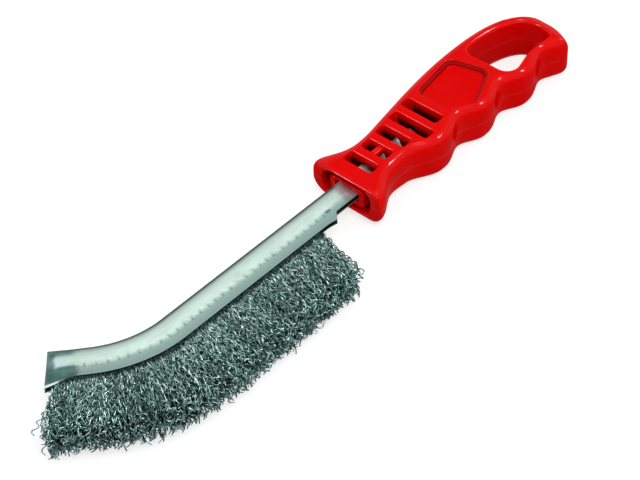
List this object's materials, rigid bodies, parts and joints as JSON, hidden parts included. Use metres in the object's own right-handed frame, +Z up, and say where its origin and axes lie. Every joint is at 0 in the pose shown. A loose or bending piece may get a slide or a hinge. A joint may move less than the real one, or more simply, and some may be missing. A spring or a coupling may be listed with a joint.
{
  "type": "hand scratch brush",
  "caption": "Hand scratch brush: moulded finger-grip handle with a hang hole, on the tang of a curved steel channel that clamps crimped wires.",
  "frame": {"origin": "bottom centre of the box round the whole brush, which lies on its side", "axes": "+X along the brush from its curved nose to the butt of the handle, -Y towards the finger grooves and the wires, +Z up, square to the flat sides of the handle"},
  "size_m": [0.279, 0.0614, 0.0184],
  "materials": {
    "handle": "glossy",
    "channel": "galvanised",
    "core_wire": "drawn",
    "wire_fill": "drawn"
  },
  "bodies": {
    "root": {"handle": "handle", "channel": "channel", "core_wire": "core_wire", "wire_fill_01": "wire_fill", "wire_fill_02": "wire_fill", "wire_fill_03": "wire_fill", "wire_fill_04": "wire_fill", "wire_fill_05": "wire_fill", "wire_fill_06": "wire_fill", "wire_fill_07": "wire_fill", "wire_fill_08": "wire_fill", "wire_fill_09": "wire_fill", "wire_fill_10": "wire_fill"}
  },
  "joints": []
}
